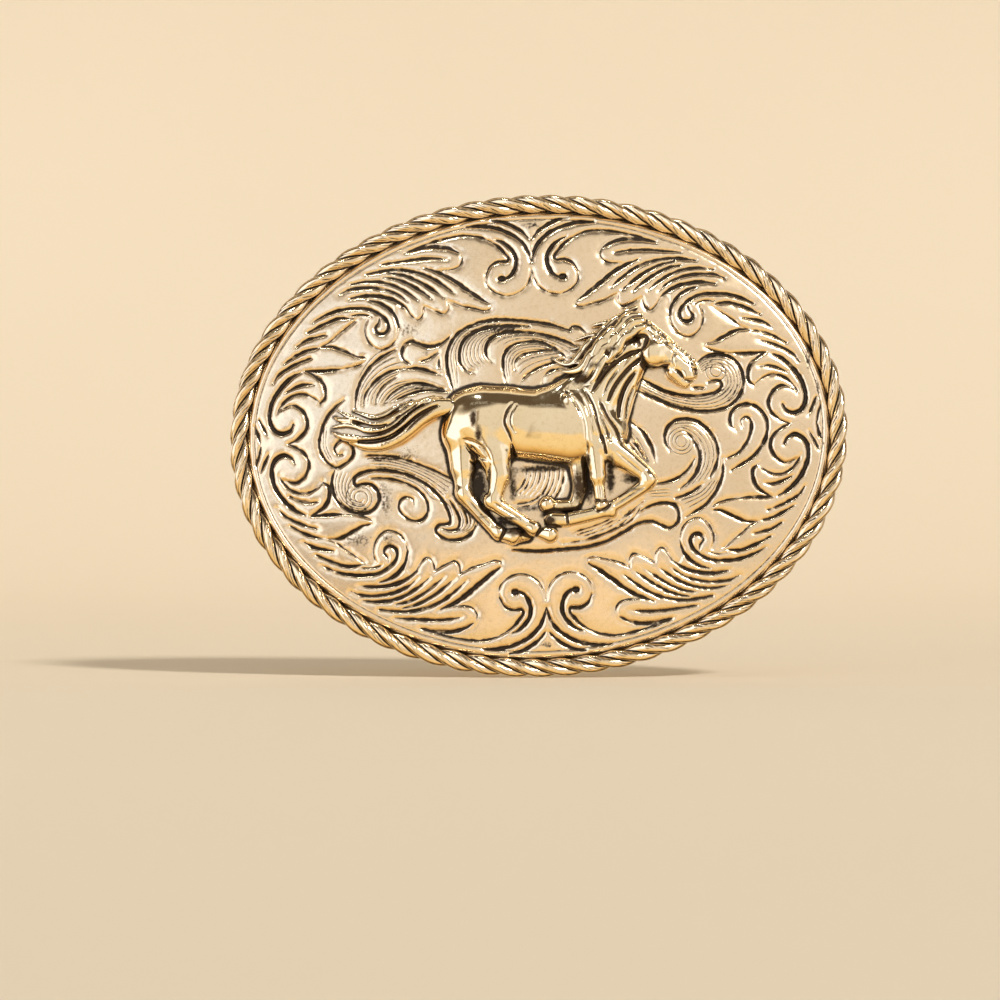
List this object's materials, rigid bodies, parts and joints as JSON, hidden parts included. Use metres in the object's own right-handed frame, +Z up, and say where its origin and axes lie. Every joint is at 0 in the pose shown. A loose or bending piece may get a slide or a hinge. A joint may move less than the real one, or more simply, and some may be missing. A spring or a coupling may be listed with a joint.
{
  "type": "belt buckle",
  "caption": "Oval domed western belt buckle with rope edge, engraved scrolls, galloping horse relief, swinging bail and belt stud.",
  "frame": {"origin": "middle of the oval, on the plane of the rim's flat back, where the strap passes", "axes": "+X along the belt from the stud towards the bail, +Z up as worn, and the decorated face looks along -Y"},
  "size_m": [0.0969, 0.0205, 0.076],
  "materials": {
    "engraved_gold_plate": "satin pale gold plating on a cast plate, with dark antiquing in the engraved lines",
    "rope_gold": "bright pale gold plating with darkened gaps between the strands",
    "figure_gold": "polished warm gold with darkened recesses",
    "back_hardware": "dull gold plating with handling wear",
    "pin_steel": "plain turned steel"
  },
  "bodies": {
    "buckle": {"face_plate": "engraved_gold_plate", "rope_strand_a": "rope_gold", "rope_strand_b": "rope_gold", "rope_strand_c": "rope_gold", "horse_figure": "figure_gold", "hinge_bracket": "back_hardware", "hinge_pin": "pin_steel", "stud_base": "back_hardware", "belt_stud": "back_hardware"},
    "bail": {"bail": "back_hardware"}
  },
  "joints": [
    {"name": "bail_swing", "type": "hinge", "parent": "buckle", "child": "bail", "pos_m": [0.02, 0.007, 0], "axis": [0, 0, 1], "range_deg": [-20, 208]}
  ]
}
